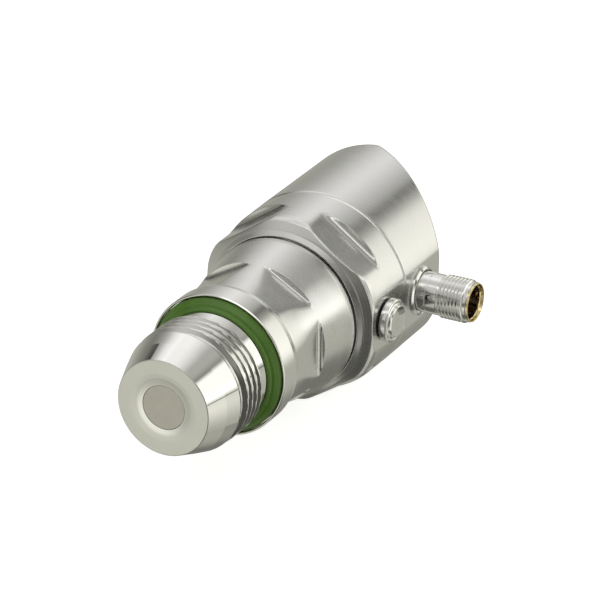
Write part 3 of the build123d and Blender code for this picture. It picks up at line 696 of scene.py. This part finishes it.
# -------------------------------------------------------------------- studio
FLOOR_Z = -0.0268
bm = bmesh.new()
bmesh.ops.create_grid(bm, x_segments=8, y_segments=8, size=6.0)
me = bpy.data.meshes.new("floor")
bm.to_mesh(me)
bm.free()
floor = bpy.data.objects.new("floor", me)
floor.location = (0, 0, FLOOR_Z)
bpy.context.scene.collection.objects.link(floor)
mf = Mat("floor_paint", (0.93, 0.93, 0.93), 0.9, 0.0)
nz = mf.noise(mf.obj(), 3.0, 2.0, 0.5)
mf.color(mf.mix(nz, (0.925, 0.925, 0.925), (0.935, 0.935, 0.935)))
mf.b.inputs["Emission Color"].default_value = (1.0, 1.0, 1.0, 1)
mf.b.inputs["Emission Strength"].default_value = 0.72
me.materials.append(mf.m)
floor.visible_glossy = False
floor.visible_diffuse = False

# world: a base tone, rectangular soft boxes and dark flags, all far away. Each is
# (angle round Y from +X to +Z in degrees, sine of the height towards +Y, turn in
# degrees, half length, half width, softness of the edge, strength, colour).
# The edge light is in front of the flags.
BASE_UP, BASE_DOWN = (0.21, 0.21, 0.188), (0.47, 0.47, 0.415)
WARM, PLAIN, COOL = (1.0, 0.99, 0.92), (1.0, 1.0, 0.965), (0.985, 0.98, 1.0)
BOXES = [
    (19, 0.83, -33, 0.28, 0.33, 0.24, 0.88, WARM),
    (24, 0.34, 10, 0.34, 0.36, 0.16, 1.00, PLAIN),
    (117, 0.72, 0, 0.68, 0.20, 1.15, 1.02, COOL),
    (77, 0.30, 14, 0.34, 0.47, 0.40, 0.26, PLAIN),
    (204, -0.92, 0, 0.27, 0.45, 0.50, 0.52, WARM),
    (336, 0.05, -22, 0.23, 0.63, 0.80, 0.76, WARM),
    (108, -0.32, 0, 1.00, 0.70, 0.65, 0.42, COOL),
    (75, -0.50, 0, 0.12, 0.70, 0.22, 1.15, PLAIN),
]
FLAGS = [
    (71, 0.90, 0, 0.25, 0.04, 0.05, 0.90),
    (262, 0.70, 0, 0.17, 0.78, 0.18, 0.60),
    (155, 0.24, -8, 0.24, 0.15, 0.05, 0.92),
    (321, -0.56, 15, 0.68, 1.00, 0.40, 0.82),
    (358, 0.31, 0, 0.25, 0.012, 0.02, 0.75),
    (243, -0.12, 0, 0.35, 0.45, 0.30, 0.70),
]
EDGE = [
    (352, -0.45, 0, 0.10, 0.75, 0.18, 1.10, WARM),
]
world = bpy.data.worlds.new("studio")
bpy.context.scene.world = world
world.use_nodes = True
wt = world.node_tree
wt.nodes.clear()
out = wt.nodes.new("ShaderNodeOutputWorld")
tc = wt.nodes.new("ShaderNodeTexCoord")
sep = wt.nodes.new("ShaderNodeSeparateXYZ")
wt.links.new(tc.outputs["Generated"], sep.inputs[0])


def wset(node, i, v):
    if isinstance(v, tuple):
        node.inputs[i].default_value = (*v, 1)
    elif isinstance(v, (int, float)):
        node.inputs[i].default_value = v
    else:
        wt.links.new(v, node.inputs[i])


def wmix(fac, a, b, blend="MIX"):
    x = wt.nodes.new("ShaderNodeMix")
    x.data_type = "RGBA"
    x.blend_type = blend
    x.clamp_factor = False
    for i, v in ((0, fac), (6, a), (7, b)):
        wset(x, i, v)
    return x.outputs[2]


def wmath(op, a, b=0.0):
    x = wt.nodes.new("ShaderNodeMath")
    x.operation = op
    wset(x, 0, a)
    wset(x, 1, b)
    return x.outputs[0]


def wdot(vec):
    x = wt.nodes.new("ShaderNodeVectorMath")
    x.operation = "DOT_PRODUCT"
    wt.links.new(tc.outputs["Generated"], x.inputs[0])
    x.inputs[1].default_value = tuple(float(q) for q in vec)
    return x.outputs["Value"]


def wspan(val, a, b, c=0.0, d=1.0):
    x = wt.nodes.new("ShaderNodeMapRange")
    x.interpolation_type = "SMOOTHSTEP"
    wt.links.new(val, x.inputs["Value"])
    for k, v in zip(("From Min", "From Max", "To Min", "To Max"), (a, b, c, d)):
        x.inputs[k].default_value = v
    return x.outputs[0]


def panel(lam, h, rot, wa, wb, soft):
    """0 to 1 over a rectangle with soft edges, seen in the given direction."""
    c = np.array([sqrt(1 - h * h) * cos(radians(lam)), h, sqrt(1 - h * h) * sin(radians(lam))])
    t1 = np.array([0, 1.0, 0]) - c * c[1]
    t1 /= np.linalg.norm(t1)
    t2 = np.cross(c, t1)
    q = radians(rot)
    u, v = cos(q) * t1 + sin(q) * t2, cos(q) * t2 - sin(q) * t1
    dc = wdot(c)
    safe = wmath("MAXIMUM", dc, 0.001)
    m = wspan(wmath("ABSOLUTE", wmath("DIVIDE", wdot(u), safe)), wa + soft / 2, wa - soft / 2)
    m = wmath("MULTIPLY", m, wspan(wmath("ABSOLUTE", wmath("DIVIDE", wdot(v), safe)), wb + soft / 2, wb - soft / 2))
    return wmath("MULTIPLY", m, wmath("GREATER_THAN", dc, 0.0))


col = wmix(wspan(sep.outputs[2], -0.35, 0.35), BASE_DOWN, BASE_UP)
for *place, strength, colour in BOXES:
    lit = wmix(panel(*place), (0.0, 0.0, 0.0), tuple(strength * q for q in colour))
    col = wmix(1.0, col, lit, "ADD")
for *place, dark in FLAGS:
    col = wmix(wmath("MULTIPLY", panel(*place), dark), col, (0.0, 0.0, 0.0))
for *place, strength, colour in EDGE:
    lit = wmix(panel(*place), (0.0, 0.0, 0.0), tuple(strength * q for q in colour))
    col = wmix(1.0, col, lit, "ADD")
bg = wt.nodes.new("ShaderNodeBackground")
wt.links.new(col, bg.inputs["Color"])
bg.inputs["Strength"].default_value = 1.0
white = wt.nodes.new("ShaderNodeBackground")
white.inputs["Color"].default_value = (1, 1, 1, 1)
white.inputs["Strength"].default_value = 1.0
lp = wt.nodes.new("ShaderNodeLightPath")
ms = wt.nodes.new("ShaderNodeMixShader")
wt.links.new(lp.outputs["Is Camera Ray"], ms.inputs[0])
wt.links.new(bg.outputs[0], ms.inputs[1])
wt.links.new(white.outputs[0], ms.inputs[2])
wt.links.new(ms.outputs[0], out.inputs["Surface"])

vs = bpy.context.scene.view_settings
vs.view_transform = "Standard"
vs.look = "None"
vs.exposure = 0.0
vs.gamma = 1.0

bpy.context.view_layer.update()
